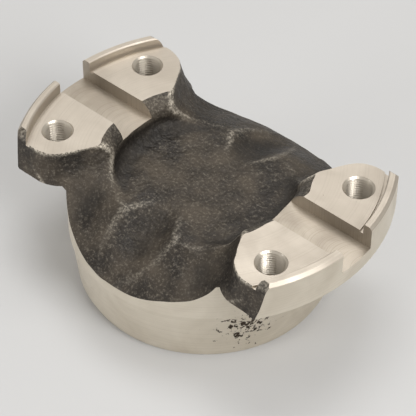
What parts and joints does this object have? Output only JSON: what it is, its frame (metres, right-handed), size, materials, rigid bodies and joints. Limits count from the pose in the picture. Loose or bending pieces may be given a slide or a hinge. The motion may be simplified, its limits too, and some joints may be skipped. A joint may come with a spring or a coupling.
{
  "type": "forged wing-bearing yoke",
  "caption": "Forged steel driveshaft yoke: round turned hub, saddle, and two raised ears with milled pads, tapped holes, pilot lips and a cross keyway.",
  "frame": {"origin": "on the shaft axis at the foot of the hub", "axes": "+Z along the shaft axis towards the joint, +X along the keyway from ear to ear, +Y across it"},
  "size_m": [0.1564, 0.1148, 0.0646],
  "materials": {
    "steel": "machined faces over dark forged skin"
  },
  "bodies": {
    "root": {"yoke": "steel"}
  },
  "joints": []
}
